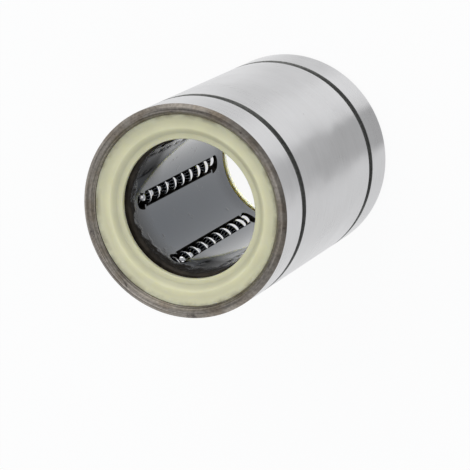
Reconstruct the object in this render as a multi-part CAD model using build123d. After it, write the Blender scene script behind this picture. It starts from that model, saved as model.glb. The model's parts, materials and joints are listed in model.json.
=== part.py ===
from build123d import *
from math import acos, cos, pi, radians, sin, sqrt, tan
import os

# Linear ball bearing for a round shaft, in millimetres
# It stands on one end: the shaft's axis is +Z and the origin is the middle of the lower end face
# The halves below and above the middle of its length mirror each other

# Sizes of the shaft and the sleeve, whose wall stands between the raceways and the housing
shaft_d = 20.0
sleeve_wall = 2.815
sleeve_length = 45.0
edge_chamfer = 0.5

# Grooves outside the sleeve for two retaining rings
groove_span = 31.5
groove_width = 1.6
groove_depth = 0.85

# Balls, the number of their circuits and the balls in each turn
ball_d = 3.175
ball_gap = 0.025
circuit_count = 6
turn_balls = 3
turn_lift = 14.0

# Room around the balls
raceway_gap = 0.01
channel_gap = 0.0625
relief_gap = 0.3
turn_gap = 0.1
land_inset = 0.3

# Retainer, the tube that guides the balls
retainer_bore_gap = 0.2
retainer_seat_gap = 0.08
retainer_floor = 0.4
retainer_least_wall = 0.5
retainer_edge = 0.35
window_width = 2.4
window_turn = 24.0

# Seats of the end rings in the sleeve
ring_seat_depth = 4.0
ring_shoulder = 0.19
ring_seat_gap = 0.01
ring_recess = 0.7
mouth_chamfer = 0.5
snap_depth = 0.3
snap_width = 0.9
snap_inset = 1.5
snap_gap = 0.05

# End rings of moulded plastic, dished towards the shaft
ring_bore_gap = 0.46
ring_lip_depth = 1.96
ring_lip_length = 0.8
dish_inset = 1.0
dish_depth = 1.25
dish_round = 1.5
ridge_inset = 2.15
ridge_depth = 1.15
ridge_run = 0.85
ridge_drop = 0.75
ridge_round = 0.5
ring_wall = 1.7
ring_round = 0.25
ring_edge = 0.1

# Worked out from the sizes above
middle = sleeve_length / 2
ball_r = ball_d / 2
ball_pitch = ball_d + ball_gap
turn_r = ball_pitch / (2 * sin(pi / (2 * turn_balls)))
turn_step = pi / turn_balls
channel_r = ball_r + channel_gap
lift = radians(turn_lift)

# Loaded and return rows, as distances from the shaft's axis and the angle between them
loaded_r = shaft_d / 2 + ball_r
retainer_bore_r = shaft_d / 2 + retainer_bore_gap
return_r = retainer_bore_r + retainer_floor + channel_r
row_angle = acos((loaded_r**2 + return_r**2 - (2 * turn_r) ** 2) / (2 * loaded_r * return_r))
circuit_angle = 360 / circuit_count

raceway_r = loaded_r + ball_r + raceway_gap
retainer_r = raceway_r - retainer_seat_gap
outer_r = raceway_r + sleeve_wall

# Straight rows: as many balls as fit in the retainer between the two turns
half_retainer = middle - ring_seat_depth
turn_reach = turn_r * cos(lift) + channel_r
half_room = half_retainer - turn_reach - retainer_least_wall
row_lead = turn_r * turn_step / 2
row_balls = 1 + int(2 * (half_room - row_lead) / ball_pitch)
half_row = (row_balls - 1) * ball_pitch / 2 + row_lead


def mirrored(solid):
    """The same solid at the other end of the bearing."""
    return mirror(solid, about=Plane.XY.offset(middle))


def turned(solid, circuit):
    """The same solid in one of the circuits around the shaft."""
    return Rot(0, 0, circuit * circuit_angle) * solid


def from_axis(place):
    """Distance of a place from the shaft's axis."""
    return sqrt(place.X**2 + place.Y**2)


def spun(outline):
    """A solid of revolution about the shaft's axis, from points as (radius, height)."""
    face = Plane.XZ * make_face(Polyline(*outline, close=True))
    return revolve(face, axis=Axis.Z)


class Circuit:
    """Straight rows and turns of the first circuit, whose loaded row is at +X."""

    def __init__(self):
        self.loaded = Vector(loaded_r, 0, 0)
        self.back = Vector(return_r * cos(row_angle), -return_r * sin(row_angle), 0)
        self.across = (self.back - self.loaded).normalized()
        self.outward = Vector(0, 0, 1).cross(self.across)
        self.centre = (self.loaded + self.back) * 0.5 + Vector(0, 0, middle + half_row)
        self.rise = Vector(0, 0, 1) * cos(lift) + self.outward * sin(lift)
        self.pivot = self.outward * cos(lift) - Vector(0, 0, 1) * sin(lift)

    def on_turn(self, angle):
        """A place on the upper turn, from 0 at the loaded row to pi at the return row."""
        return self.centre + (self.rise * sin(angle) - self.across * cos(angle)) * turn_r

    def turn_plane(self):
        """Plane through the turn's centre: X towards the loaded row, Y away from the shaft."""
        return Plane(origin=self.centre, x_dir=self.across * -1, z_dir=self.rise * -1)

    def row_plane(self, place):
        """Plane across a straight row at the middle of the bearing, Y away from the shaft."""
        return Plane(origin=place + Vector(0, 0, middle), x_dir=self.across, z_dir=(0, 0, 1))


circuit = Circuit()
widest_turn = max(from_axis(circuit.on_turn(radians(angle))) for angle in range(90, 181))
relief_r = widest_turn + ball_r + turn_gap
ring_seat_r = relief_r + ring_shoulder


def channel_section():
    """Round floor for the balls with straight walls away from the shaft."""
    walls = Rectangle(2 * channel_r, 2 * channel_r, align=(Align.CENTER, Align.MIN))
    return Circle(channel_r) + walls


def row_channel(place):
    """Straight channel, a little longer than the row so that it runs into the lifted turns."""
    half = half_row + channel_r * tan(lift)
    section = circuit.row_plane(place) * channel_section()
    return extrude(section, amount=half, both=True)


def turn_channel():
    """Half ring of channel that joins the two rows at the upper end."""
    section = circuit.turn_plane() * (Pos(turn_r, 0) * channel_section())
    return revolve(section, axis=Axis(circuit.centre, circuit.pivot), revolution_arc=180)


def row_window():
    """Slot through which the loaded balls reach the shaft."""
    depth = loaded_r - shaft_d / 2
    slot = Box(depth, window_width, 2 * half_row, align=(Align.MAX, Align.CENTER, Align.CENTER))
    return Pos(loaded_r - ball_r / 2, 0, middle) * slot


def window_end():
    """Curved end of the slot, which follows the first ball into the turn."""
    depth = loaded_r - shaft_d / 2
    low = Rectangle(window_width, depth, align=(Align.CENTER, Align.MAX))
    section = circuit.turn_plane() * (Pos(turn_r, -ball_r / 2) * low)
    curve = revolve(section, axis=Axis(circuit.centre, circuit.pivot), revolution_arc=window_turn)
    tip = circuit.on_turn(radians(window_turn)) - circuit.pivot * (ball_r / 2)
    tip_plane = Plane(origin=tip, x_dir=circuit.across, z_dir=circuit.pivot * -1)
    return curve + extrude(tip_plane * Circle(window_width / 2), amount=depth)


def ball_retainer():
    """Steel tube with a closed channel for each circuit and a slot along its loaded row."""
    bevel = retainer_bore_r + retainer_edge
    low, high = middle - half_retainer, middle + half_retainer
    tube = spun(
        [
            (bevel, low),
            (retainer_r, low),
            (retainer_r, high),
            (bevel, high),
            (retainer_bore_r, high - retainer_edge),
            (retainer_bore_r, low + retainer_edge),
        ]
    )
    cutters = [row_channel(circuit.loaded), row_channel(circuit.back), row_window()]
    for end in (turn_channel(), window_end()):
        cutters += [end, mirrored(end)]
    for number in range(circuit_count):
        for cutter in cutters:
            tube -= turned(cutter, number)
    return tube


def sleeve_outline():
    """Section of the sleeve's lower half, then the same points mirrored for the upper half."""
    snap_low = ring_recess + snap_inset
    groove_low = middle - groove_span / 2
    land_low = middle - half_row + land_inset
    groove_floor_r = outer_r - groove_depth
    ramp = relief_r - raceway_r
    lower = [
        (raceway_r, land_low),
        (relief_r, land_low - ramp),
        (relief_r, ring_seat_depth),
        (ring_seat_r, ring_seat_depth),
        (ring_seat_r, snap_low + snap_width),
        (ring_seat_r + snap_depth, snap_low + snap_width - snap_depth),
        (ring_seat_r + snap_depth, snap_low),
        (ring_seat_r, snap_low),
        (ring_seat_r, ring_recess),
        (ring_seat_r + mouth_chamfer, 0),
        (outer_r - edge_chamfer, 0),
        (outer_r, edge_chamfer),
        (outer_r, groove_low),
        (groove_floor_r, groove_low),
        (groove_floor_r, groove_low + groove_width),
        (outer_r, groove_low + groove_width),
    ]
    return lower + [(r, sleeve_length - z) for r, z in reversed(lower)]


def outer_sleeve():
    """Hardened sleeve: raceway lands inside, relief grooves for the balls on their way back."""
    sleeve = spun(sleeve_outline())
    relief = Cylinder(ball_r + relief_gap, 2 * (half_row + turn_r))
    for number in range(circuit_count):
        sleeve -= turned(Pos(circuit.back + Vector(0, 0, middle)) * relief, number)
    return sleeve


def end_ring():
    """Lower end ring: a wall that clips into the sleeve and a dished web towards the shaft."""
    wall_r = ring_seat_r - ring_seat_gap
    rib_low = ring_recess + snap_inset + snap_gap
    rib_high = ring_recess + snap_inset + snap_width - snap_gap
    rib = snap_depth - snap_gap
    bore_r = shaft_d / 2 + ring_bore_gap
    ridge_r = wall_r - ridge_inset
    lip_top = ring_lip_depth + ring_lip_length
    corners = [
        (wall_r, ring_recess, ring_edge),
        (wall_r, rib_low, 0),
        (wall_r + rib, rib_low, 0),
        (wall_r + rib, rib_high - rib, 0),
        (wall_r, rib_high, 0),
        (wall_r, ring_seat_depth, 0),
        (wall_r - ring_wall, ring_seat_depth, 0),
        (wall_r - ring_wall, lip_top, ring_round),
        (bore_r, lip_top, ring_round),
        (bore_r, ring_lip_depth, ring_round),
        (ridge_r - ridge_run, ridge_depth + ridge_drop, ring_round),
        (ridge_r, ridge_depth, ridge_round),
        (wall_r - dish_inset, dish_depth, dish_round),
    ]
    points = [(r, z) for r, z, _ in corners]
    outline = FilletPolyline(*points, radius=[c[2] for c in corners], close=True)
    return revolve(Plane.XZ * make_face(outline), axis=Axis.Z)


def balls(places):
    """A group of separate balls."""
    return [Pos(place) * Sphere(ball_r) for place in places]


def row(place):
    """Balls of one straight row, evenly spaced about the middle of the bearing."""
    first = middle - (row_balls - 1) * ball_pitch / 2
    return balls(place + Vector(0, 0, first + i * ball_pitch) for i in range(row_balls))


def turn():
    """Balls in the upper turn."""
    return balls(circuit.on_turn((i + 0.5) * turn_step) for i in range(turn_balls))


def write(name, solids):
    """Writes one piece, or one group of separate solids, to its own file."""
    group = Compound(children=list(solids))
    group.label = name
    export_step(group, os.path.join("parts", name + ".step"))


def main():
    os.makedirs("parts", exist_ok=True)
    ring = end_ring()
    write("outer_sleeve", [outer_sleeve()])
    write("ball_retainer", [ball_retainer()])
    write("bottom_end_ring", [ring])
    write("top_end_ring", [mirrored(ring)])
    groups = {
        "loaded_balls": row(circuit.loaded),
        "return_balls": row(circuit.back),
        "top_turn_balls": turn(),
        "bottom_turn_balls": [mirrored(ball) for ball in turn()],
    }
    for number in range(circuit_count):
        for name, group in groups.items():
            write(f"{name}_{number + 1}", [turned(ball, number) for ball in group])


main()
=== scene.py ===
"""Linear ball bearing: its pieces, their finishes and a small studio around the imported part."""

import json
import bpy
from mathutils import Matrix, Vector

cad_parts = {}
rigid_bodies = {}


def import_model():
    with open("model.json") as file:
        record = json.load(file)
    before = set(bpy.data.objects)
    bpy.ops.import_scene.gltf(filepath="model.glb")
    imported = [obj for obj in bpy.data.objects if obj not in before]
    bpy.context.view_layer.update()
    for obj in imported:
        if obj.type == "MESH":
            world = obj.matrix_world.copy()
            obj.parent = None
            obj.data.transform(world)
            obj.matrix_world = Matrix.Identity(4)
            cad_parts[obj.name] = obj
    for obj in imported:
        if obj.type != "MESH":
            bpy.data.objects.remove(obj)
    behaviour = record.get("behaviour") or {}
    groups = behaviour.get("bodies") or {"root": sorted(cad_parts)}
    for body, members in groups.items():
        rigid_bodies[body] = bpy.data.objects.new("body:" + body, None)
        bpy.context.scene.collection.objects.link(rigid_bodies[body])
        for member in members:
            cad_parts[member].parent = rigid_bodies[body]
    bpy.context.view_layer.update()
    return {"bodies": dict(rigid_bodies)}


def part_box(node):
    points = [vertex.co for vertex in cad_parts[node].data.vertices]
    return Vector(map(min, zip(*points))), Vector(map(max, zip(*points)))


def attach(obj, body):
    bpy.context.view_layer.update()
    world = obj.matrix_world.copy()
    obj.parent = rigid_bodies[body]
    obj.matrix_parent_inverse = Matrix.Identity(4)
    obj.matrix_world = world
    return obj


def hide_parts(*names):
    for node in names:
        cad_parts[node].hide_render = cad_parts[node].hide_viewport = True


bl_info = {
    "name": "Linear Ball Bearing",
    "version": (1, 0, 0),
    "blender": (4, 5, 0),
    "location": "3D View > Sidebar > Bearing",
    "description": "Builds the pieces, finishes and studio of a linear ball bearing",
    "category": "Add Mesh",
}

from math import acos, cos, pi, radians, sin, tan

import bmesh
import bpy
from bpy.props import FloatProperty, FloatVectorProperty, IntProperty, PointerProperty
from bpy.types import NodeSocket, Operator, Panel, PropertyGroup
from mathutils import Matrix, Vector

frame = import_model()
sleeve_low, sleeve_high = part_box("outer_sleeve")

MM = 0.001
UP = Vector((0, 0, 1))
ORIGIN = Vector((0, 0, 0))
FIXED_BODY = "sleeve_and_retainer"
CIRCUITS = sum(body.startswith("loaded_balls") for body in frame["bodies"])

# Steps round a full turn, along a rounded edge, and on the shapes that cut the steel
STEPS_ROUND = 256
ARC_STEPS = 6
CHANNEL_STEPS = 32
TURN_STEPS = 40
SLOT_TURN_STEPS = 12
SLOT_TIP_STEPS = 48
RELIEF_STEPS = 64
CARD_STEPS = 96
BALL_DETAIL = 4

# Edges sharper than these angles stay sharp, and flat faces outweigh the small bevels beside them
SHARP_STEEL = radians(32)
SHARP_PLASTIC = radians(50)
FLAT_WEIGHT = 80

# How far a face's middle may lie from its surface, and how much it may lean, to take its finish
OUTSIDE_SLACK = 0.02 * MM
INSIDE_SLACK = 0.1 * MM
BORE_SLACK = 0.01 * MM
OUTSIDE_LEAN = 0.3
BORE_LEAN = 0.2

# Room for rounding, in lengths and in a count of balls
LENGTH_SLACK = 1e-7
COUNT_SLACK = 1e-6

# Where the finishes change along the shaft, as heights above the middle of the bearing
GROOVES_TO_ENDS = (16 * MM, 20 * MM)
GREASED_END = (15.2 * MM, 18.6 * MM)
# The next two: heights where the painted dark reflection on the bore's wall comes in, all round
# near the near end and away from the two clear strips over the near half
NEAR_DARK_REFLECTION = (12 * MM, 16.5 * MM)
HALF_DARK_REFLECTION = (6.5 * MM, 10.5 * MM)
# Height where painted shade comes in towards the far end of the bore
FAR_PAINTED_SHADE = (-13.8 * MM, -16.5 * MM)
GREASED_BALLS = (12 * MM, 13 * MM)

# How much further the grease reaches into the bore where there is most of it
GREASE_REACH = 2.2 * MM

# Where the finishes change across the end faces, as distances from the shaft's axis
MOUTH = (14.7 * MM, 15.2 * MM)
OUTER_EDGE = (15.3 * MM, 15.65 * MM)
RING_BORDER = (13.5 * MM, 14.35 * MM)

# Directions round the axis: most grease, the strips of the bore's wall (this way and the opposite
# way) left without painted dark reflection, and the side of the rim's outer edge with painted dark
# reflection
GREASE_SIDE = radians(105)
BRIGHT_WALL_SIDE = radians(28)
DARK_EDGE_SIDE = radians(190)

# Scales that draw a noise out into the lines of grinding round the sleeve and along the bore
GROUND_LINES = (130, 130, 5200)
DRAWN_LINES = (2600, 2600, 90)

# Range that holds nearly all values of a noise
CLOUDY = (0.3, 0.7)

# Sockets of a Mix node that blends two colours
MIX_AMOUNT, MIX_FIRST, MIX_SECOND, MIX_COLOUR = 0, 6, 7, 2

# Painted shade and highlight on the end rings, as tones from bore (0) to outside (1): darker in
# the crease below the ridge and towards the outer edge, lighter on the ridge
RING_PAINTED_SHADING = (
    (0.0, 0.86), (0.14, 0.84), (0.25, 0.74), (0.33, 0.79), (0.39, 0.89),
    (0.46, 0.96), (0.54, 0.95), (0.72, 0.88), (0.88, 0.81), (1.0, 0.62),
)

# The card: its height and reach, the point that its tones turn about, and the tone at each angle
CARD_LIFT = 0.2 * MM
CARD_REACH = 70 * MM
CARD_CENTRE = (-7.85 * MM, -4.17 * MM)
CARD_TONES = (
    (0, 0.95), (18, 0.9), (34, 0.62), (52, 0.62), (64, 0.95), (98, 0.95),
    (112, 0.85), (132, 0.84), (156, 0.87), (165, 0.52), (204, 0.52), (214, 0.9),
    (232, 1.0), (254, 0.99), (271, 0.82), (292, 0.82), (312, 0.98),
)

# Soft lamps, as name, place, side and tint, and the small one below the bore
LAMPS = (
    ("key", (0.35, -0.75, 0.75), 1.2, (1.0, 0.99, 0.97)),
    ("fill", (-0.35, -0.05, 0.8), 0.4, (1.0, 1.0, 1.0)),
    ("side", (-0.55, 0.55, 0.25), 0.5, (0.96, 0.98, 1.0)),
    ("strip", (-0.08, -0.75, 0.27), 0.4, (1.0, 1.0, 1.0)),
)
GLOW_SIDE = 14 * MM
GLOW_TINT = (0.86, 0.9, 1.0)
SKY_TINT = (0.93, 0.96, 1.0, 1)
WHITE = (1, 1, 1, 1)

# How much of the floor's tone is plain white, for each kind of ray that looks at it
FLOOR_WHITE = {"Is Camera Ray": 0.92, "Is Glossy Ray": 0.9, "Is Transmission Ray": 0.85}

# The camera's place and axes, from edges fitted to the photograph
CAMERA_PLACE = (-0.15732, -0.07693, 0.40081)
CAMERA_RIGHT = Vector((-0.92534, 0.08348, -0.36983))
CAMERA_UP = Vector((0.0, -0.97546, -0.22019))
CAMERA_BACK = Vector((-0.37913, -0.20375, 0.90263))
SENSOR_WIDTH = 36.0
NEAREST = 0.01


def length(name, about, millimetres):
    """A length that a user can change, given here in millimetres."""
    return FloatProperty(
        name=name, description=about, default=millimetres * MM, min=0, precision=5, unit="LENGTH"
    )


def angle(name, about, degrees):
    """An angle that a user can change, given here in degrees."""
    return FloatProperty(name=name, description=about, default=radians(degrees), subtype="ANGLE")


def power(name, about, watts):
    """Power of a lamp, which a user can change."""
    return FloatProperty(name=name, description=about, default=watts, unit="POWER")


def colour(name, about, rgb):
    """A colour that a user can change."""
    return FloatVectorProperty(
        name=name, description=about, default=rgb, size=3, min=0, max=1, subtype="COLOR"
    )


class BearingSizes(PropertyGroup):
    """Sizes of the bearing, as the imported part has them."""

    shaft_d: length("Shaft", "Diameter of the shaft", 20.0)
    outer_d: length("Outside", "Diameter of the sleeve", (sleeve_high.x - sleeve_low.x) / MM)
    sleeve_length: length("Length", "Length of the sleeve", (sleeve_high.z - sleeve_low.z) / MM)
    edge_chamfer: length("Edge", "Chamfer on the outer edges", 0.5)
    edge_round: length("Edge rounding", "Rounding of steel edges", 0.06)
    groove_span: length("Groove span", "Distance over both grooves", 31.5)
    groove_width: length("Groove width", "Width of an outer groove", 1.6)
    groove_floor_d: length("Groove floor", "Diameter of the grooves' floor", 30.3)
    ball_d: length("Ball", "Diameter of a ball", 3.175)
    ball_gap: length("Ball gap", "Gap between balls in a row", 0.025)
    circuits: IntProperty(
        name="Circuits", description="Number of ball circuits", default=CIRCUITS, min=3
    )
    turn_balls: IntProperty(name="Turn balls", description="Balls in each turn", default=3, min=1)
    turn_lift: angle("Turn lift", "How far a turn leans outwards", 14)
    raceway_gap: length("Raceway gap", "Gap from a loaded ball to the sleeve", 0.01)
    channel_gap: length("Channel gap", "Gap between a ball and its channel", 0.0625)
    relief_gap: length("Relief gap", "Room over the returning balls", 0.3)
    turn_gap: length("Turn gap", "Room over the balls in a turn", 0.1)
    land_inset: length("Land inset", "From the row's end to the raceway", 0.3)
    retainer_bore_gap: length("Retainer bore", "Gap between the shaft and the retainer", 0.2)
    retainer_seat_gap: length("Retainer seat", "Gap between the retainer and the sleeve", 0.08)
    retainer_floor: length("Channel floor", "Wall under the returning balls", 0.4)
    retainer_least_wall: length("End wall", "Least wall at the retainer's ends", 0.5)
    retainer_edge: length("Retainer edge", "Chamfer in the retainer's mouth", 0.35)
    window_width: length("Slot", "Width of the slots", 2.4)
    window_turn: angle("Slot turn", "How far a slot runs into the turn", 24)
    ring_seat_depth: length("Seat depth", "Depth of an end ring's seat", 4.0)
    ring_shoulder: length("Shoulder", "Step behind an end ring", 0.19)
    ring_seat_gap: length("Seat gap", "Gap around an end ring", 0.01)
    ring_recess: length("Recess", "Depth of an end ring in the sleeve", 0.7)
    mouth_chamfer: length("Mouth", "Chamfer in the sleeve's mouth", 0.5)
    snap_depth: length("Snap depth", "Depth of the snap groove", 0.3)
    snap_width: length("Snap width", "Width of the snap groove", 0.9)
    snap_inset: length("Snap inset", "From the ring's face to the snap groove", 1.5)
    snap_gap: length("Snap gap", "Gap around the snap rib", 0.05)
    ring_bore_gap: length("Ring bore", "Gap between the shaft and an end ring", 0.46)
    ring_lip_depth: length("Lip depth", "Depth of the lip in the sleeve", 1.96)
    ring_lip_length: length("Lip length", "Length of the lip", 0.8)
    dish_inset: length("Dish inset", "From the ring's outside to the dish", 1.0)
    dish_depth: length("Dish depth", "Depth of the dish in the sleeve", 1.25)
    dish_round: length("Dish rounding", "Rounding of the dish", 1.5)
    ridge_inset: length("Ridge inset", "From the ring's outside to the ridge", 2.15)
    ridge_depth: length("Ridge depth", "Depth of the ridge in the sleeve", 1.15)
    ridge_run: length("Ridge slope", "Width of the slope to the lip", 0.85)
    ridge_drop: length("Ridge drop", "Height of the slope to the lip", 0.75)
    ridge_round: length("Ridge rounding", "Rounding of the ridge", 0.5)
    ring_wall: length("Ring wall", "Wall of an end ring", 1.7)
    ring_round: length("Ring rounding", "Rounding of moulded edges", 0.25)
    ring_edge: length("Ring edge", "Rounding of its outer edge", 0.1)


class BearingColours(PropertyGroup):
    """Colours of the bearing's finishes and of the studio's floor."""

    ground_steel: colour("Ground steel", "Outside of the sleeve", (0.68, 0.68, 0.69))
    speck: colour("Specks", "Marks on the ground steel", (0.24, 0.22, 0.2))
    turned_steel: colour("Turned steel", "End faces of the sleeve", (0.265, 0.238, 0.208))
    groove_steel: colour("Groove steel", "Grooves round the sleeve", (0.4, 0.4, 0.385))
    rust: colour("Rust", "Rust on the end faces", (0.17, 0.125, 0.08))
    stain: colour("Stains", "Stains on the end faces", (0.045, 0.032, 0.03))
    retainer_steel: colour("Retainer steel", "Tube that guides the balls", (0.002, 0.012, 0.028))
    ball_steel: colour("Ball steel", "Polished balls", (0.78, 0.78, 0.8))
    ring_plastic: colour("Ring plastic", "Moulded end rings", (0.82, 0.795, 0.545))
    dirt: colour("Dirt", "Dirt round the end rings", (0.15, 0.11, 0.06))
    # The grease colour also colours the painted dark reflection and painted shade in the bore, and
    # the hidden steel with painted shade
    grease: colour("Grease", "Film of dark grease", (0.022, 0.018, 0.014))
    floor: colour("Floor", "Floor of the studio", (0.9, 0.905, 0.915))


class BearingStudio(PropertyGroup):
    """Lights, floor and lens around the bearing."""

    floor_size: length("Floor", "Side of the square floor", 6000.0)
    key_power: power("Key", "Power of the large soft light", 2.6)
    fill_power: power("Fill", "Power of the light beside the camera", 0.8)
    side_power: power("Side", "Power of the low side light", 0.4)
    strip_power: power("Strip", "Power of the low light over the bore", 0.9)
    glow_power: power("Glow", "Power of the light below the bore", 0.004)
    sky: FloatProperty(
        name="Sky", description="Strength of the light all round", default=0.62, min=0
    )
    lens: FloatProperty(name="Lens", description="Focal length in millimetres", default=209.0)


class Layout:
    """Places worked out from the sizes, by the same steps as in the part."""

    def __init__(self, sizes):
        self.sizes = sizes
        self.middle = sizes.sleeve_length / 2
        self.ball_r = sizes.ball_d / 2
        self.pitch = sizes.ball_d + sizes.ball_gap
        self.turn_step = pi / sizes.turn_balls
        self.turn_r = self.pitch / (2 * sin(self.turn_step / 2))
        self.channel_r = self.ball_r + sizes.channel_gap
        self.loaded_r = sizes.shaft_d / 2 + self.ball_r
        self.bore_r = sizes.shaft_d / 2 + sizes.retainer_bore_gap
        self.return_r = self.bore_r + sizes.retainer_floor + self.channel_r
        across = self.loaded_r**2 + self.return_r**2 - (2 * self.turn_r) ** 2
        self.row_angle = acos(across / (2 * self.loaded_r * self.return_r))
        self.raceway_r = self.loaded_r + self.ball_r + sizes.raceway_gap
        self.retainer_r = self.raceway_r - sizes.retainer_seat_gap
        self.half_retainer = self.middle - sizes.ring_seat_depth
        reach = self.turn_r * cos(sizes.turn_lift) + self.channel_r
        room = self.half_retainer - reach - sizes.retainer_least_wall
        lead = self.turn_r * self.turn_step / 2
        self.row_balls = 1 + int(2 * (room - lead) / self.pitch + COUNT_SLACK)
        self.half_row = (self.row_balls - 1) * self.pitch / 2 + lead
        self.loaded = Vector((self.loaded_r, 0, 0))
        back = Vector((cos(self.row_angle), -sin(self.row_angle), 0))
        self.back = back * self.return_r
        self.across = (self.back - self.loaded).normalized()
        self.outward = UP.cross(self.across)
        centre = (self.loaded + self.back) / 2
        self.centre = centre + UP * (self.middle + self.half_row)
        lift = sizes.turn_lift
        self.rise = UP * cos(lift) + self.outward * sin(lift)
        self.pivot = self.outward * cos(lift) - UP * sin(lift)
        outer_quarter = [self.on_turn(radians(degrees)) for degrees in range(90, 181)]
        widest = max(place.xy.length for place in outer_quarter)
        self.relief_r = widest + self.ball_r + sizes.turn_gap
        self.ring_seat_r = self.relief_r + sizes.ring_shoulder
        self.ring_bore_r = sizes.shaft_d / 2 + sizes.ring_bore_gap

    def on_turn(self, angle):
        """A place on the upper turn, from 0 at the loaded row to pi at the return row."""
        return self.centre + (self.rise * sin(angle) - self.across * cos(angle)) * self.turn_r

    def row_places(self, foot):
        """Places of the balls of one straight row."""
        first = self.middle - (self.row_balls - 1) * self.pitch / 2
        return [foot + UP * (first + i * self.pitch) for i in range(self.row_balls)]

    def turn_places(self):
        """Places of the balls in the upper turn."""
        return [self.on_turn((i + 0.5) * self.turn_step) for i in range(self.sizes.turn_balls)]

    def flipped(self, place):
        """The same place at the other end of the bearing."""
        return Vector((place.x, place.y, 2 * self.middle - place.z))


def layout():
    """Layout from the scene's present sizes."""
    return Layout(bpy.context.scene.bearing_sizes)


def colours():
    """The scene's present colours."""
    return bpy.context.scene.bearing_colours


class Nodes:
    """Node tree of a material or of the sky."""

    def __init__(self, owner):
        owner.use_nodes = True
        self.tree = owner.node_tree
        self.tree.nodes.clear()

    def node(self, kind, sockets=None, **settings):
        """A shader node with its settings, and with numbers or links on its sockets."""
        node = self.tree.nodes.new(f"ShaderNode{kind}")
        for name, value in settings.items():
            setattr(node, name, value)
        for name, value in (sockets or {}).items():
            if isinstance(value, NodeSocket):
                self.tree.links.new(value, node.inputs[name])
            else:
                node.inputs[name].default_value = value
        return node

    def mixed(self, amount, first, second):
        """Shader between two shaders."""
        sockets = {0: amount, 1: first.outputs[0], 2: second.outputs[0]}
        return self.node("MixShader", sockets)


class Finish(Nodes):
    """Nodes of one material, with short calls for those that the finishes share."""

    def __init__(self, name):
        self.material = bpy.data.materials.new(f"{name}_finish")
        super().__init__(self.material)
        self.place = self.node("TexCoord").outputs["Object"]

    def number(self, operation, *values):
        """Result of a sum on single numbers."""
        sockets = dict(enumerate(values))
        return self.node("Math", sockets, operation=operation).outputs[0]

    def product(self, first, *others):
        """Single numbers multiplied together."""
        for other in others:
            first = self.number("MULTIPLY", first, other)
        return first

    def stretched(self, scale):
        """Coordinates drawn out by a scale on each axis."""
        return self.node("Mapping", {"Vector": self.place, "Scale": scale}).outputs[0]

    def flat(self):
        """Coordinates across the shaft's axis, at no height."""
        return self.stretched((1, 1, 0))

    def noise(self, scale=1.0, vector=None, detail=3.0, rough=0.55, bend=0.0):
        """Cloudy pattern from 0 to 1."""
        sockets = {
            "Vector": vector or self.place,
            "Scale": scale,
            "Detail": detail,
            "Roughness": rough,
            "Distortion": bend,
        }
        return self.node("TexNoise", sockets).outputs["Fac"]

    def spread(self, value, low, high, to_low=0.0, to_high=1.0):
        """A number moved from one range to another, and held inside it."""
        sockets = {
            "Value": value,
            "From Min": low,
            "From Max": high,
            "To Min": to_low,
            "To Max": to_high,
        }
        return self.node("MapRange", sockets).outputs["Result"]

    def varied(self, pattern, to_low=0.0, to_high=1.0):
        """A number that follows a cloudy pattern from one value to another."""
        return self.spread(pattern, *CLOUDY, to_low, to_high)

    def between(self, amount, none, full):
        """A number that goes from one value to another as an amount goes from 0 to 1."""
        return self.spread(amount, 0.0, 1.0, none, full)

    def blend(self, amount, first, second):
        """Colour between two colours."""
        sockets = {MIX_AMOUNT: amount, MIX_FIRST: first, MIX_SECOND: second}
        return self.node("Mix", sockets, data_type="RGBA").outputs[MIX_COLOUR]

    def shaded(self, rgb, factor=1.0):
        """A colour made lighter or darker, as four numbers."""
        return (*[min(1.0, part * factor) for part in rgb], 1.0)

    def toned(self, rgb, amount, darker, lighter):
        """Colour between a darker and a lighter tone of the same colour."""
        return self.blend(amount, self.shaded(rgb, darker), self.shaded(rgb, lighter))

    def dimmed(self, tone, factor):
        """A colour multiplied by a number."""
        sockets = {0: tone, "Scale": factor}
        return self.node("VectorMath", sockets, operation="SCALE").outputs[0]

    def rings(self, fine, along):
        """Coordinates that change fast across turning marks and slowly along them."""
        split = self.node("SeparateXYZ", {0: self.place})
        outward = self.number("ADD", self.radius(), split.outputs[2])
        sockets = {
            0: self.product(split.outputs[0], along),
            1: self.product(split.outputs[1], along),
            2: self.product(outward, fine),
        }
        return self.node("CombineXYZ", sockets).outputs[0]

    def ramp(self, value, stops):
        """Grey that follows a number through stops of place and tone."""
        node = self.node("ValToRGB", {"Fac": value})
        elements = node.color_ramp.elements
        for place, _ in stops[1:-1]:
            elements.new(place)
        for element, (place, tone) in zip(elements, stops):
            element.position = place
            element.color = (tone, tone, tone, 1)
        return node.outputs[0]

    def above_middle(self):
        """Height of a place above the middle of the bearing."""
        height = self.node("SeparateXYZ", {0: self.place}).outputs[2]
        return self.number("SUBTRACT", height, layout().middle)

    def radius(self):
        """Distance from the shaft's axis."""
        node = self.node("VectorMath", {0: self.flat()}, operation="LENGTH")
        return node.outputs["Value"]

    def towards(self, direction):
        """How far a place lies towards a direction round the axis, from -1 to 1."""
        outward = self.node("VectorMath", {0: self.flat()}, operation="NORMALIZE")
        pointer = (cos(direction), sin(direction), 0)
        sockets = {0: outward.outputs[0], 1: pointer}
        node = self.node("VectorMath", sockets, operation="DOT_PRODUCT")
        return node.outputs["Value"]

    def bump(self, height, strength, distance, under=None):
        """Normal with small relief."""
        sockets = {"Height": height, "Strength": strength, "Distance": distance}
        if under:
            sockets["Normal"] = under
        return self.node("Bump", sockets).outputs[0]

    def shown(self, shader):
        """Joins a shader to the output and returns the material."""
        self.node("OutputMaterial", {"Surface": shader.outputs[0]})
        return self.material

    def done(self, sockets):
        """The material with a surface shader that has these numbers and links."""
        return self.shown(self.node("BsdfPrincipled", sockets))


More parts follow.
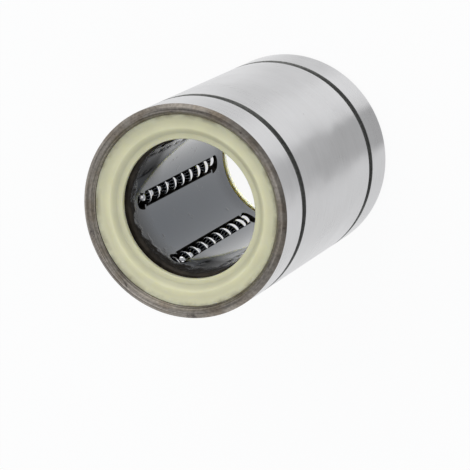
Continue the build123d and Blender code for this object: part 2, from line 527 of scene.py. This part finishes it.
def ground_steel():
    """Ground outside of the sleeve: fine lines round it, soft clouds and a few dark specks."""
    paint = colours()
    steel = Finish("ground_steel")
    lines = steel.noise(vector=steel.stretched(GROUND_LINES), detail=4.0, rough=0.7)
    clouds = steel.noise(scale=95.0)
    cells = steel.node("TexVoronoi", {"Vector": steel.place, "Scale": 230.0})
    chosen = steel.spread(steel.noise(scale=160.0, detail=1.0), 0.54, 0.57)
    specks = steel.product(chosen, steel.spread(cells.outputs["Distance"], 0.045, 0.02))
    base = steel.toned(paint.ground_steel, steel.varied(clouds), 0.93, 1.05)
    lined = steel.dimmed(base, steel.varied(lines, 0.93, 1.05))
    hazy = steel.spread(clouds, 0.35, 0.65, -0.03, 0.05)
    tangent = steel.node("Tangent", direction_type="RADIAL", axis="Z")
    waves = steel.bump(steel.noise(scale=75.0, detail=2.0), 1.0, 0.8 * MM)
    surface = {
        "Base Color": steel.blend(specks, lined, steel.shaded(paint.speck)),
        "Metallic": 1.0,
        "Roughness": steel.number("ADD", steel.varied(lines, 0.27, 0.36), hazy),
        "Anisotropic": 0.55,
        "Anisotropic Rotation": 0.25,
        "Tangent": tangent.outputs[0],
        "Normal": steel.bump(lines, 0.12, 0.02 * MM, waves),
    }
    return steel.done(surface)


def turned_steel():
    """Dark end faces with turning marks, scratches, rust and stains, a painted dark reflection on
    one side of the outer edge, and plainer grey grooves.
    """
    paint = colours()
    steel = Finish("turned_steel")
    marks = steel.noise(vector=steel.rings(fine=4200, along=110), rough=0.6)
    streaks = steel.noise(vector=steel.rings(fine=2400, along=60), detail=4.0, rough=0.6)
    scratches = steel.noise(vector=steel.rings(fine=7000, along=40), detail=1.0)
    blots = steel.noise(vector=steel.rings(fine=1300, along=420), detail=5.0, rough=0.65, bend=0.3)
    rust = steel.spread(steel.noise(scale=320.0), 0.45, 0.65, 0.0, 0.45)
    base = steel.toned(paint.turned_steel, steel.spread(streaks, 0.36, 0.66), 0.6, 1.55)
    rusty = steel.blend(rust, base, steel.shaded(paint.rust))
    stained = steel.blend(steel.spread(blots, 0.6, 0.72), rusty, steel.shaded(paint.stain))
    scratch = steel.shaded(paint.turned_steel, 2.4)
    face = steel.blend(steel.spread(scratches, 0.66, 0.72), stained, scratch)
    from_middle = steel.number("ABSOLUTE", steel.above_middle())
    at_ends = steel.spread(from_middle, *GROOVES_TO_ENDS)
    groove = steel.shaded(paint.groove_steel)
    radius = steel.radius()
    mouth = steel.spread(radius, *MOUTH, 0.9, 1.0)
    # Painted dark reflection on the outer edge, up to half darker on one side
    side = steel.spread(steel.towards(DARK_EDGE_SIDE), 0.45, 0.95, 0.0, 0.5)
    painted_dark_edge = steel.product(steel.spread(radius, *OUTER_EDGE), side)
    edge = steel.number("SUBTRACT", 1.0, painted_dark_edge)
    grain = steel.spread(steel.noise(scale=2400.0, detail=2.0), 0.35, 0.65, 0.84, 1.19)
    lines = steel.product(steel.varied(marks, 0.8, 1.2), grain)
    tone = steel.product(lines, mouth, edge, steel.between(at_ends, 0.78, 1.0))
    surface = {
        "Base Color": steel.dimmed(steel.blend(at_ends, groove, face), tone),
        "Metallic": 0.85,
        "Roughness": steel.varied(marks, 0.34, 0.5),
        "Normal": steel.bump(marks, 0.25, 0.03 * MM),
    }
    return steel.done(surface)


def retainer_steel():
    """Dark wall of the bore with thick grease at the near end, painted dark reflection over the
    near half and painted shade towards the far end.
    """
    paint = colours()
    steel = Finish("retainer_steel")
    drawn = steel.noise(vector=steel.stretched(DRAWN_LINES))
    clouds = steel.noise(scale=140.0)
    blotches = steel.noise(scale=620.0, detail=5.0, rough=0.6, bend=0.3)
    wet = steel.noise(scale=2200.0)
    height = steel.above_middle()
    greasy = steel.spread(steel.towards(GREASE_SIDE), 0.1, 1.0, 0.0, GREASE_REACH)
    near_end = steel.spread(steel.number("ADD", height, greasy), *GREASED_END, 0.0, 0.5)
    blobs = steel.spread(steel.number("ADD", blotches, near_end), 0.63, 0.86)
    # Painted dark reflection on the bore's wall: over the near half it is darkened except on two
    # opposite strips, which darken too near the near end
    beside = steel.spread(steel.number("ABSOLUTE", steel.towards(BRIGHT_WALL_SIDE)), 0.85, 0.6)
    thin = steel.spread(height, *NEAR_DARK_REFLECTION, 0.0, 0.6)
    wide = steel.spread(height, *HALF_DARK_REFLECTION, 0.0, 0.95)
    painted_dark_reflection = steel.product(steel.number("MAXIMUM", beside, thin), wide)
    # Painted shade towards the far end of the bore
    painted_far_shade = steel.spread(height, *FAR_PAINTED_SHADE, 0.0, 0.3)
    # One mask for the grease blobs, the painted dark reflection and the painted shade towards the
    # far end
    film = steel.number("MAXIMUM", steel.number("MAXIMUM", blobs, painted_dark_reflection), painted_far_shade)
    clear = steel.number("SUBTRACT", 1.0, film)
    base = steel.toned(paint.retainer_steel, steel.varied(clouds), 0.92, 1.08)
    # Grease colour for the blobs, darker where there are none, which also colours the painted dark
    # reflection and the painted shade
    oil = steel.toned(paint.grease, blobs, 0.3, 1.0)
    matte = steel.product(blobs, steel.spread(wet, 0.62, 0.52, 0.0, 0.1))
    relief = steel.bump(drawn, 0.04, 0.02 * MM)
    surface = {
        "Base Color": steel.blend(film, base, oil),
        "Metallic": clear,
        "Roughness": steel.between(blobs, 0.09, 0.34),
        "IOR": steel.between(film, 1.45, 1.2),
        "Specular IOR Level": steel.number("SUBTRACT", steel.between(film, 0.5, 0.17), matte),
        "Coat Weight": clear,
        "Coat Roughness": 0.09,
        "Normal": steel.bump(steel.product(blobs, wet), 0.6, 0.2 * MM, relief),
    }
    return steel.done(surface)


def greased_steel():
    """Hidden steel in the channels and behind the end rings: dark grease, with painted shade that
    keeps the slots, gaps and cavities near black.
    """
    steel = Finish("greased_steel")
    blotches = steel.noise(scale=620.0, detail=4.0, bend=0.4)
    thick = steel.spread(blotches, 0.35, 0.7)
    surface = {
        "Base Color": steel.toned(colours().grease, thick, 0.8, 2.5),
        "Roughness": steel.varied(blotches, 0.3, 0.5),
        "Specular IOR Level": 0.12,
        "Normal": steel.bump(blotches, 0.5, 0.15 * MM),
    }
    return steel.done(surface)


def ball_steel():
    """Polished balls with a thin, uneven film of oil and smears of grease at the near end."""
    paint = colours()
    steel = Finish("ball_steel")
    film = steel.noise(scale=700.0, detail=2.0)
    clean = steel.toned(paint.ball_steel, film, 0.92, 1.05)
    near_end = steel.spread(steel.above_middle(), *GREASED_BALLS)
    smears = steel.spread(steel.noise(scale=1700.0), 0.4, 0.52, 0.3, 1.0)
    greased = steel.product(near_end, smears)
    polish = steel.varied(film, 0.03, 0.06)
    surface = {
        "Base Color": steel.blend(greased, clean, steel.shaded(paint.grease, 1.5)),
        "Metallic": 1.0,
        "Roughness": steel.number("ADD", polish, steel.product(greased, 0.15)),
    }
    return steel.done(surface)


def ring_plastic():
    """Cream moulded plastic with faint flow marks, painted shade in the crease and towards the
    outer edge, a painted highlight on the ridge, and dirt along its border.
    """
    paint = colours()
    plan = layout()
    plastic = Finish("ring_plastic")
    flow = plastic.noise(vector=plastic.rings(fine=900, along=120))
    clouds = plastic.noise(scale=230.0)
    grain = plastic.noise(scale=5200.0, detail=2.0)
    patches = plastic.spread(plastic.noise(scale=420.0, detail=4.0), 0.42, 0.66)
    radius = plastic.radius()
    base = plastic.toned(paint.ring_plastic, plastic.varied(clouds), 0.95, 1.03)
    # Painted shade in the crease and towards the outer edge, and a painted highlight on the ridge,
    # as a tone by distance from the axis
    painted_ring_shading = plastic.ramp(plastic.spread(radius, plan.ring_bore_r, plan.ring_seat_r), RING_PAINTED_SHADING)
    lined = plastic.dimmed(base, plastic.product(plastic.varied(flow, 0.98, 1.02), painted_ring_shading))
    dirt = plastic.product(plastic.spread(radius, *RING_BORDER, 0.0, 0.75), patches)
    surface = {
        "Base Color": plastic.blend(dirt, lined, plastic.shaded(paint.dirt)),
        "Roughness": plastic.varied(clouds, 0.3, 0.38),
        "Subsurface Weight": 0.6,
        "Subsurface Radius": (1.0, 0.9, 0.5),
        "Subsurface Scale": 1.2 * MM,
        "Normal": plastic.bump(grain, 0.05, 0.03 * MM),
    }
    return plastic.done(surface)


def studio_floor():
    """Pale floor that keeps the shadow and shows as near white to the camera and in metal."""
    paper = Finish("studio_floor")
    matte = paper.node("BsdfDiffuse", {"Color": paper.shaded(colours().floor)})
    white = paper.node("Emission", {"Color": WHITE})
    rays = paper.node("LightPath").outputs
    share = 0.0
    for ray, part in FLOOR_WHITE.items():
        share = paper.number("ADD", share, paper.product(rays[ray], part))
    return paper.shown(paper.mixed(share, matte, white))


def card_paper():
    """Card whose grey changes round the bearing, as studio screens would show in the steel."""
    paper = Finish("card_paper")
    shift = [-part for part in CARD_CENTRE]
    sockets = {"Vector": paper.place, "Location": (*shift, 0)}
    centred = {"Vector": paper.node("Mapping", sockets).outputs[0]}
    turn = paper.node("TexGradient", centred, gradient_type="RADIAL")
    stops = sorted(((degrees / 360 + 0.5) % 1, tone) for degrees, tone in CARD_TONES)
    tones = paper.ramp(turn.outputs["Fac"], stops)
    return paper.shown(paper.node("Emission", {"Color": tones}))


def material(make):
    """A finish, made once and shared by its pieces."""
    return bpy.data.materials.get(f"{make.__name__}_finish") or make()


def dressed(piece, finishes, finish_of):
    """Gives a piece its finishes, and each face the one that finish_of picks for it."""
    piece.data.materials.clear()
    for make in finishes:
        piece.data.materials.append(material(make))
    for face in piece.data.polygons:
        face.material_index = finish_of(face)


def profile_of(corners):
    """Closed profile from corners as (radius, height, rounding), with each rounding as an arc."""
    places = [Vector((r, 0, z)) for r, z, _ in corners]
    points = []
    for index, (place, corner) in enumerate(zip(places, corners)):
        rounding = corner[2]
        if rounding == 0:
            points.append(place)
            continue
        back = (places[index - 1] - place).normalized()
        ahead = (places[(index + 1) % len(places)] - place).normalized()
        half = back.angle(ahead) / 2
        centre = place + (back + ahead).normalized() * (rounding / sin(half))
        run = rounding / tan(half)
        start, end = [(place + way * run - centre).normalized() for way in (back, ahead)]
        for step in range(ARC_STEPS + 1):
            points.append(centre + start.slerp(end, step / ARC_STEPS) * rounding)
    profile = bmesh.new()
    verts = [profile.verts.new(point) for point in points]
    for first, second in zip(verts, verts[1:] + verts[:1]):
        profile.edges.new((first, second))
    return profile


def everything(shape):
    """All parts of a bmesh."""
    return shape.verts[:] + shape.edges[:] + shape.faces[:]


def verts_in(made):
    """The vertices among the parts that an operator made."""
    return [part for part in made["geom"] if isinstance(part, bmesh.types.BMVert)]


def spun(shape, steps=STEPS_ROUND, centre=ORIGIN, axis=UP, reach=2 * pi):
    """Turns a profile or a face about an axis, all the way round or as far as its reach."""
    bmesh.ops.spin(
        shape,
        geom=everything(shape),
        cent=centre,
        axis=axis,
        dvec=ORIGIN,
        angle=reach,
        steps=steps,
        use_merge=reach == 2 * pi,
    )
    bmesh.ops.recalc_face_normals(shape, faces=shape.faces)
    return shape


def as_object(name, shape, finish=None):
    """An object from a bmesh, plain or with one finish."""
    mesh = bpy.data.meshes.new(name)
    shape.to_mesh(mesh)
    shape.free()
    if finish:
        mesh.materials.append(material(finish))
    thing = bpy.data.objects.new(name, mesh)
    bpy.context.scene.collection.objects.link(thing)
    return thing


def carved(thing, cutters):
    """Takes the cutters' shapes out of an object, one after the other, and removes the cutters."""
    for cutter in cutters:
        cut = thing.modifiers.new(cutter.name, "BOOLEAN")
        cut.operation = "DIFFERENCE"
        cut.solver = "MANIFOLD"
        cut.object = cutter
    settled(thing)
    for cutter in cutters:
        bpy.data.meshes.remove(cutter.data)


def settled(thing):
    """Makes the result of an object's modifiers its own mesh."""
    bpy.context.view_layer.update()
    graph = bpy.context.evaluated_depsgraph_get()
    mesh = bpy.data.meshes.new_from_object(thing.evaluated_get(graph))
    thing.modifiers.clear()
    old, thing.data = thing.data, mesh
    mesh.name = thing.name
    bpy.data.meshes.remove(old)


def smoothed(thing, sharp=SHARP_STEEL):
    """Smooth shading with sharp edges kept, and flat faces that stay flat beside small bevels."""
    thing.data.shade_smooth()
    thing.data.set_sharp_from_angle(angle=sharp)
    weighted = thing.modifiers.new("weighted", "WEIGHTED_NORMAL")
    weighted.keep_sharp = True
    weighted.weight = FLAT_WEIGHT
    settled(thing)


def ride_as(piece, body, node):
    """The piece moves with a body and stands for a CAD node."""
    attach(piece, body)
    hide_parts(node)


def rod(radius, depth, steps):
    """Solid round rod along Z, with its middle at the origin."""
    shape = bmesh.new()
    bmesh.ops.create_cone(
        shape, cap_ends=True, segments=steps, radius1=radius, radius2=radius, depth=depth
    )
    return shape


def channel_profile(radius):
    """Round floor with straight walls, as a flat face on the XY plane that opens along +Y."""
    shape = bmesh.new()
    bmesh.ops.create_circle(shape, cap_ends=True, segments=CHANNEL_STEPS, radius=radius)
    bmesh.ops.bisect_plane(
        shape, geom=everything(shape), plane_co=ORIGIN, plane_no=(0, 1, 0), clear_outer=True
    )
    rim = [e for e in shape.edges if all(abs(v.co.y) < LENGTH_SLACK for v in e.verts)]
    walls = bmesh.ops.extrude_edge_only(shape, edges=rim)
    bmesh.ops.translate(shape, verts=verts_in(walls), vec=(0, 2 * radius, 0))
    bmesh.ops.dissolve_faces(shape, faces=shape.faces[:])
    return shape


def placed(shape, origin, x_axis, y_axis):
    """Moves a shape from the XY plane to a plane in space."""
    turn = Matrix((x_axis, y_axis, x_axis.cross(y_axis))).transposed().to_4x4()
    matrix = Matrix.Translation(origin) @ turn
    bmesh.ops.transform(shape, matrix=matrix, verts=shape.verts)


def copies_around(shape, count):
    """Repeats a shape evenly round the shaft's axis."""
    first = everything(shape)
    for number in range(1, count):
        copy = bmesh.ops.duplicate(shape, geom=first)
        turn = Matrix.Rotation(2 * pi * number / count, 3, "Z")
        bmesh.ops.rotate(shape, verts=verts_in(copy), cent=ORIGIN, matrix=turn)
    return shape


def mirrored_copy(shape, plan):
    """The same shape at the other end of the bearing, with its faces turned right."""
    other = shape.copy()
    bmesh.ops.scale(other, verts=other.verts, vec=(1, 1, -1))
    bmesh.ops.translate(other, verts=other.verts, vec=(0, 0, 2 * plan.middle))
    bmesh.ops.reverse_faces(other, faces=other.faces)
    return other


def row_cutter(plan, foot):
    """Straight channel of one row."""
    shape = channel_profile(plan.channel_r)
    half = plan.half_row + plan.channel_r * tan(plan.sizes.turn_lift)
    base = foot + UP * (plan.middle - half)
    placed(shape, base, plan.across, plan.outward)
    made = bmesh.ops.extrude_face_region(shape, geom=shape.faces[:])
    bmesh.ops.translate(shape, verts=verts_in(made), vec=(0, 0, 2 * half))
    bmesh.ops.recalc_face_normals(shape, faces=shape.faces)
    return shape


def turn_cutter(plan):
    """Half ring of channel that joins the two rows at the upper end."""
    shape = channel_profile(plan.channel_r)
    placed(shape, plan.on_turn(0), plan.across, plan.pivot)
    return spun(shape, TURN_STEPS, plan.centre, plan.pivot, pi)


def window_cutter(plan):
    """Straight part of the slot through which the loaded balls reach the shaft."""
    shape = bmesh.new()
    bmesh.ops.create_cube(shape, size=1.0)
    sizes = (plan.ball_r, plan.sizes.window_width, 2 * plan.half_row)
    bmesh.ops.scale(shape, verts=shape.verts, vec=sizes)
    centre = (plan.loaded_r - plan.ball_r, 0, plan.middle)
    bmesh.ops.translate(shape, verts=shape.verts, vec=centre)
    return shape


def window_end_cutter(plan):
    """Curved end of the slot, which follows the first ball into the turn."""
    shape = bmesh.new()
    bmesh.ops.create_grid(shape, x_segments=1, y_segments=1, size=0.5)
    low = (plan.sizes.window_width, plan.ball_r, 1)
    bmesh.ops.scale(shape, verts=shape.verts, vec=low)
    bmesh.ops.translate(shape, verts=shape.verts, vec=(0, -plan.ball_r, 0))
    placed(shape, plan.on_turn(0), plan.across, plan.pivot)
    return spun(shape, SLOT_TURN_STEPS, plan.centre, plan.pivot, plan.sizes.window_turn)


def window_tip_cutter(plan):
    """Round tip at the end of the slot."""
    shape = rod(plan.sizes.window_width / 2, plan.ball_r, SLOT_TIP_STEPS)
    tip = plan.on_turn(plan.sizes.window_turn) - plan.pivot * plan.ball_r
    placed(shape, tip, plan.across, plan.pivot.cross(plan.across))
    bmesh.ops.recalc_face_normals(shape, faces=shape.faces)
    return shape


def sleeve_corners(plan):
    """Corners of the sleeve's section and how much each is rounded."""
    sizes = plan.sizes
    snap_low = sizes.ring_recess + sizes.snap_inset
    snap_high = snap_low + sizes.snap_width
    snap_r = plan.ring_seat_r + sizes.snap_depth
    groove_low = plan.middle - sizes.groove_span / 2
    groove_high = groove_low + sizes.groove_width
    land_low = plan.middle - plan.half_row + sizes.land_inset
    ramp = plan.relief_r - plan.raceway_r
    outer_r = sizes.outer_d / 2
    small = sizes.edge_round
    lower = [
        (plan.raceway_r, land_low, 0),
        (plan.relief_r, land_low - ramp, 0),
        (plan.relief_r, sizes.ring_seat_depth, 0),
        (plan.ring_seat_r, sizes.ring_seat_depth, 0),
        (plan.ring_seat_r, snap_high, 0),
        (snap_r, snap_high - sizes.snap_depth, 0),
        (snap_r, snap_low, 0),
        (plan.ring_seat_r, snap_low, 0),
        (plan.ring_seat_r, sizes.ring_recess, small),
        (plan.ring_seat_r + sizes.mouth_chamfer, 0, small),
        (outer_r - sizes.edge_chamfer, 0, small),
        (outer_r, sizes.edge_chamfer, small),
        (outer_r, groove_low, small),
        (sizes.groove_floor_d / 2, groove_low, small),
        (sizes.groove_floor_d / 2, groove_high, small),
        (outer_r, groove_high, small),
    ]
    upper = [(r, sizes.sleeve_length - z, size) for r, z, size in reversed(lower)]
    return lower + upper


def ring_corners(plan):
    """Corners of the lower end ring's section and how much each is rounded."""
    sizes = plan.sizes
    wall_r = plan.ring_seat_r - sizes.ring_seat_gap
    rib_low = sizes.ring_recess + sizes.snap_inset + sizes.snap_gap
    rib_high = sizes.ring_recess + sizes.snap_inset + sizes.snap_width - sizes.snap_gap
    rib = sizes.snap_depth - sizes.snap_gap
    ridge_r = wall_r - sizes.ridge_inset
    lip_top = sizes.ring_lip_depth + sizes.ring_lip_length
    full = sizes.ring_round
    return [
        (wall_r, sizes.ring_recess, sizes.ring_edge),
        (wall_r, rib_low, 0),
        (wall_r + rib, rib_low, 0),
        (wall_r + rib, rib_high - rib, 0),
        (wall_r, rib_high, 0),
        (wall_r, sizes.ring_seat_depth, 0),
        (wall_r - sizes.ring_wall, sizes.ring_seat_depth, 0),
        (wall_r - sizes.ring_wall, lip_top, full),
        (plan.ring_bore_r, lip_top, full),
        (plan.ring_bore_r, sizes.ring_lip_depth, full),
        (ridge_r - sizes.ridge_run, sizes.ridge_depth + sizes.ridge_drop, full),
        (ridge_r, sizes.ridge_depth, sizes.ridge_round),
        (wall_r - sizes.dish_inset, sizes.dish_depth, sizes.dish_round),
    ]


def ball_group(name, places, turn):
    """One object with separate balls at these places."""
    shape = bmesh.new()
    radius = layout().ball_r
    for place in places:
        matrix = turn @ Matrix.Translation(place)
        bmesh.ops.create_icosphere(shape, subdivisions=BALL_DETAIL, radius=radius, matrix=matrix)
    piece = as_object(name, shape, ball_steel)
    piece.data.shade_smooth()
    return piece


def fit_balls(groups):
    """Puts groups of balls in place of their CAD nodes, in every circuit."""
    count = layout().sizes.circuits
    for number in range(count):
        turn = Matrix.Rotation(2 * pi * number / count, 4, "Z")
        for node, places in groups.items():
            name = f"{node}_{number + 1}"
            piece = ball_group(f"{name}_polished", places, turn)
            ride_as(piece, name, name)


class BEARING_OT_sleeve(Operator):
    """Build the hardened sleeve with its grooves and raceways"""

    bl_idname = "bearing.sleeve"
    bl_label = "Outer Sleeve"

    def execute(self, context):
        plan = layout()
        sleeve = as_object("sleeve_finished", spun(profile_of(sleeve_corners(plan))))
        depth = 2 * (plan.half_row + plan.turn_r)
        relief = rod(plan.ball_r + plan.sizes.relief_gap, depth, RELIEF_STEPS)
        bmesh.ops.translate(relief, verts=relief.verts, vec=plan.back + UP * plan.middle)
        carved(sleeve, [as_object("relief", copies_around(relief, plan.sizes.circuits))])
        outside = (plan.sizes.outer_d / 2 - OUTSIDE_SLACK) * cos(pi / STEPS_ROUND)
        inside = plan.ring_seat_r + plan.sizes.snap_depth + INSIDE_SLACK
        low = plan.sizes.ring_recess
        high = plan.sizes.sleeve_length - low

        def finish_of(face):
            radius = face.center.xy.length
            if radius > outside and abs(face.normal.z) < OUTSIDE_LEAN:
                return 0
            return 2 if radius < inside and low < face.center.z < high else 1

        dressed(sleeve, (ground_steel, turned_steel, greased_steel), finish_of)
        smoothed(sleeve)
        ride_as(sleeve, FIXED_BODY, "outer_sleeve")
        return {"FINISHED"}


class BEARING_OT_retainer(Operator):
    """Build the tube with the closed ball channels and the slots"""

    bl_idname = "bearing.retainer"
    bl_label = "Ball Retainer"

    def execute(self, context):
        plan = layout()
        bevel = plan.bore_r + plan.sizes.retainer_edge
        low, high = plan.middle - plan.half_retainer, plan.middle + plan.half_retainer
        small = plan.sizes.edge_round
        corners = [
            (bevel, low, small),
            (plan.retainer_r, low, small),
            (plan.retainer_r, high, small),
            (bevel, high, small),
            (plan.bore_r, high - plan.sizes.retainer_edge, small),
            (plan.bore_r, low + plan.sizes.retainer_edge, small),
        ]
        retainer = as_object("retainer_finished", spun(profile_of(corners)))
        shapes = {
            "loaded_channel": row_cutter(plan, plan.loaded),
            "return_channel": row_cutter(plan, plan.back),
            "slot": window_cutter(plan),
        }
        for name, shape in (
            ("turn", turn_cutter(plan)),
            ("slot_end", window_end_cutter(plan)),
            ("slot_tip", window_tip_cutter(plan)),
        ):
            shapes[f"bottom_{name}"] = mirrored_copy(shape, plan)
            shapes[f"top_{name}"] = shape
        count = plan.sizes.circuits
        cutters = [as_object(n, copies_around(shape, count)) for n, shape in shapes.items()]
        carved(retainer, cutters)
        wall = plan.bore_r + BORE_SLACK

        def finish_of(face):
            upright = abs(face.normal.z) < BORE_LEAN
            return 0 if upright and face.center.xy.length < wall else 1

        dressed(retainer, (retainer_steel, greased_steel), finish_of)
        smoothed(retainer)
        ride_as(retainer, FIXED_BODY, "ball_retainer")
        return {"FINISHED"}


class BEARING_OT_end_rings(Operator):
    """Build the two moulded end rings"""

    bl_idname = "bearing.end_rings"
    bl_label = "End Rings"

    def execute(self, context):
        plan = layout()
        lower = spun(profile_of(ring_corners(plan)))
        upper = mirrored_copy(lower, plan)
        for end, shape in (("bottom", lower), ("top", upper)):
            ring = as_object(f"{end}_ring_moulded", shape, ring_plastic)
            smoothed(ring, SHARP_PLASTIC)
            ride_as(ring, FIXED_BODY, f"{end}_end_ring")
        return {"FINISHED"}


class BEARING_OT_balls(Operator):
    """Build the balls of the straight rows, then those of the turns at both ends"""

    bl_idname = "bearing.balls"
    bl_label = "Balls"

    def execute(self, context):
        plan = layout()
        loaded, back = plan.row_places(plan.loaded), plan.row_places(plan.back)
        upper = plan.turn_places()
        lower = [plan.flipped(place) for place in upper]
        fit_balls({"loaded_balls": loaded, "return_balls": back})
        fit_balls({"top_turn_balls": upper, "bottom_turn_balls": lower})
        return {"FINISHED"}


def reflection_card(plan):
    """A ring of card on the floor whose grey tones show only in the steel."""
    shape = bmesh.new()
    inner = plan.sizes.outer_d / 2
    start = shape.verts.new((inner, 0, CARD_LIFT))
    end = shape.verts.new((CARD_REACH, 0, CARD_LIFT))
    shape.edges.new((start, end))
    card = as_object("reflection_card", spun(shape, CARD_STEPS), card_paper)
    card.visible_camera = False
    card.visible_diffuse = False
    card.visible_transmission = False
    card.visible_shadow = False


def soft_light(name, place, side, power, tint):
    """A square lamp that shines on the middle of the bearing."""
    lamp = bpy.data.lights.new(name, "AREA")
    lamp.shape = "SQUARE"
    lamp.size = side
    lamp.energy = power
    lamp.color = tint
    holder = bpy.data.objects.new(name, lamp)
    aim = Vector((0, 0, layout().middle)) - Vector(place)
    turn = aim.to_track_quat("-Z", "Y").to_matrix().to_4x4()
    holder.matrix_world = Matrix.Translation(place) @ turn
    bpy.context.scene.collection.objects.link(holder)
    return holder


class BEARING_OT_studio(Operator):
    """Set up the pale floor, the soft lights and the camera"""

    bl_idname = "bearing.studio"
    bl_label = "Studio"

    def execute(self, context):
        studio = context.scene.bearing_studio
        ground = bmesh.new()
        bmesh.ops.create_grid(ground, x_segments=1, y_segments=1, size=studio.floor_size / 2)
        floor = as_object("floor", ground, studio_floor)
        reflection_card(layout())
        for name, place, side, tint in LAMPS:
            soft_light(name, place, side, getattr(studio, f"{name}_power"), tint)
        glow = soft_light("far_glow", (0, 0, CARD_LIFT), GLOW_SIDE, studio.glow_power, GLOW_TINT)
        glow.visible_camera = False
        glow.visible_glossy = False
        self.sky(context, studio.sky)
        self.camera(context, studio.lens)
        context.scene.view_settings.view_transform = "Standard"
        return {"FINISHED"}

    def sky(self, context, strength):
        """Even light all round, which the camera sees as white."""
        world = bpy.data.worlds.new("studio_sky")
        sky = Nodes(world)
        light = sky.node("Background", {"Color": SKY_TINT, "Strength": strength})
        white = sky.node("Background", {"Color": WHITE})
        seen = sky.node("LightPath").outputs["Is Camera Ray"]
        mixed = sky.mixed(seen, light, white)
        sky.node("OutputWorld", {"Surface": mixed.outputs[0]})
        context.scene.world = world

    def camera(self, context, lens):
        """Camera at the photograph's angle."""
        view = bpy.data.cameras.new("camera")
        view.sensor_width = SENSOR_WIDTH
        view.lens = lens
        view.clip_start = NEAREST
        holder = bpy.data.objects.new("camera", view)
        turn = Matrix((CAMERA_RIGHT, CAMERA_UP, CAMERA_BACK)).transposed().to_4x4()
        holder.matrix_world = Matrix.Translation(CAMERA_PLACE) @ turn
        context.scene.collection.objects.link(holder)
        context.scene.camera = holder


class BEARING_PT_build(Panel):
    """Steps that build the bearing, its sizes, colours and studio"""

    bl_label = "Linear Ball Bearing"
    bl_idname = "BEARING_PT_build"
    bl_space_type = "VIEW_3D"
    bl_region_type = "UI"
    bl_category = "Bearing"

    def draw(self, context):
        column = self.layout.column(align=True)
        for step in STEPS:
            column.operator(step.bl_idname)
        for name in GROUPS:
            group = getattr(context.scene, name)
            box = self.layout.box()
            for setting in group.__annotations__:
                box.prop(group, setting)


GROUPS = {
    "bearing_sizes": BearingSizes,
    "bearing_colours": BearingColours,
    "bearing_studio": BearingStudio,
}
STEPS = (
    BEARING_OT_sleeve,
    BEARING_OT_retainer,
    BEARING_OT_end_rings,
    BEARING_OT_balls,
    BEARING_OT_studio,
)


def register():
    """Adds the classes and the scene's settings."""
    for name, group in GROUPS.items():
        bpy.utils.register_class(group)
        setattr(bpy.types.Scene, name, PointerProperty(type=group))
    for step in (*STEPS, BEARING_PT_build):
        bpy.utils.register_class(step)


def unregister():
    """Takes the classes and the scene's settings away again."""
    for step in reversed((*STEPS, BEARING_PT_build)):
        bpy.utils.unregister_class(step)
    for name, group in GROUPS.items():
        delattr(bpy.types.Scene, name)
        bpy.utils.unregister_class(group)


def main():
    """Builds every piece and the studio."""
    register()
    bpy.ops.bearing.sleeve()
    bpy.ops.bearing.retainer()
    bpy.ops.bearing.end_rings()
    bpy.ops.bearing.balls()
    bpy.ops.bearing.studio()


if __name__ == "__main__":
    main()
